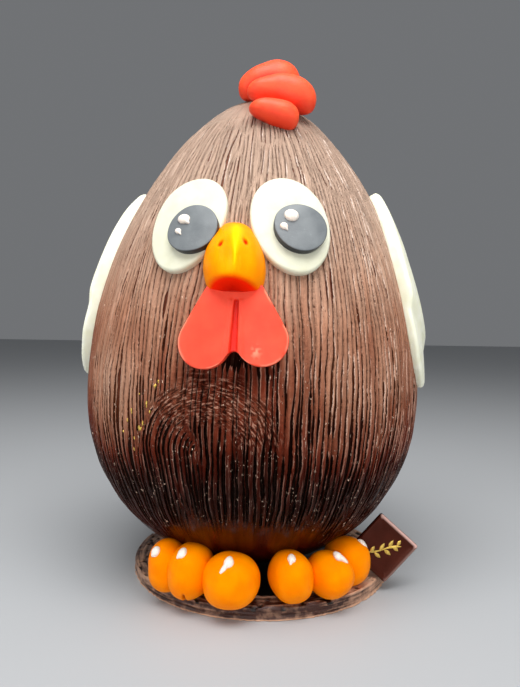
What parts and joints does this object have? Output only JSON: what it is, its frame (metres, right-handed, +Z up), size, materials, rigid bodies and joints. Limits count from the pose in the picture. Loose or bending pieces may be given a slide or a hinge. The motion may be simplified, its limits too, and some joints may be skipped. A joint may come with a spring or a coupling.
{
  "type": "chick-shaped chocolate egg",
  "caption": "Large brushed dark chocolate egg dressed as a chick, with fondant eyes, beak, wattle, comb, wings and toes, standing on a chocolate disc.",
  "frame": {"origin": "centre of the chocolate disc's underside, where it rests", "axes": "+Z up, the chick looks along -Y, and +X is to the right for someone who faces it"},
  "size_m": [0.1658, 0.1659, 0.2413],
  "materials": {
    "chocolate": "dark chocolate brushed into fine upright ridges, satin to glossy",
    "disc_chocolate": "dark chocolate brushed round the rim, satin with pale scuffs",
    "plaque_chocolate": "glossy moulded dark chocolate with a plain gold ornament",
    "white_fondant": "rolled white sugar paste, satin",
    "black_fondant": "black sugar paste with a soft sheen",
    "orange_fondant": "hand-rolled orange sugar paste, satin, the beak airbrushed red underneath",
    "red_fondant": "hand-shaped red sugar paste, satin",
    "white_icing": "piped white icing, glossy"
  },
  "bodies": {
    "root": {"egg_body": "chocolate", "base_disc": "disc_chocolate", "plaque": "plaque_chocolate", "eye_white_left": "white_fondant", "eye_white_right": "white_fondant", "pupil_left": "black_fondant", "pupil_right": "black_fondant", "glint_left_large": "white_icing", "glint_left_small": "white_icing", "glint_right_large": "white_icing", "glint_right_small": "white_icing", "beak": "orange_fondant", "wattle": "red_fondant", "wing_left": "white_fondant", "wing_right": "white_fondant", "comb_front": "red_fondant", "comb_middle": "red_fondant", "comb_back": "red_fondant", "toe_left_inner": "orange_fondant", "toe_left_middle": "orange_fondant", "toe_left_outer": "orange_fondant", "toe_right_inner": "orange_fondant", "toe_right_middle": "orange_fondant", "toe_right_outer": "orange_fondant", "nail_left_inner": "white_icing", "nail_left_middle": "white_icing", "nail_left_outer": "white_icing", "nail_right_inner": "white_icing", "nail_right_middle": "white_icing", "nail_right_outer": "white_icing"}
  },
  "joints": []
}
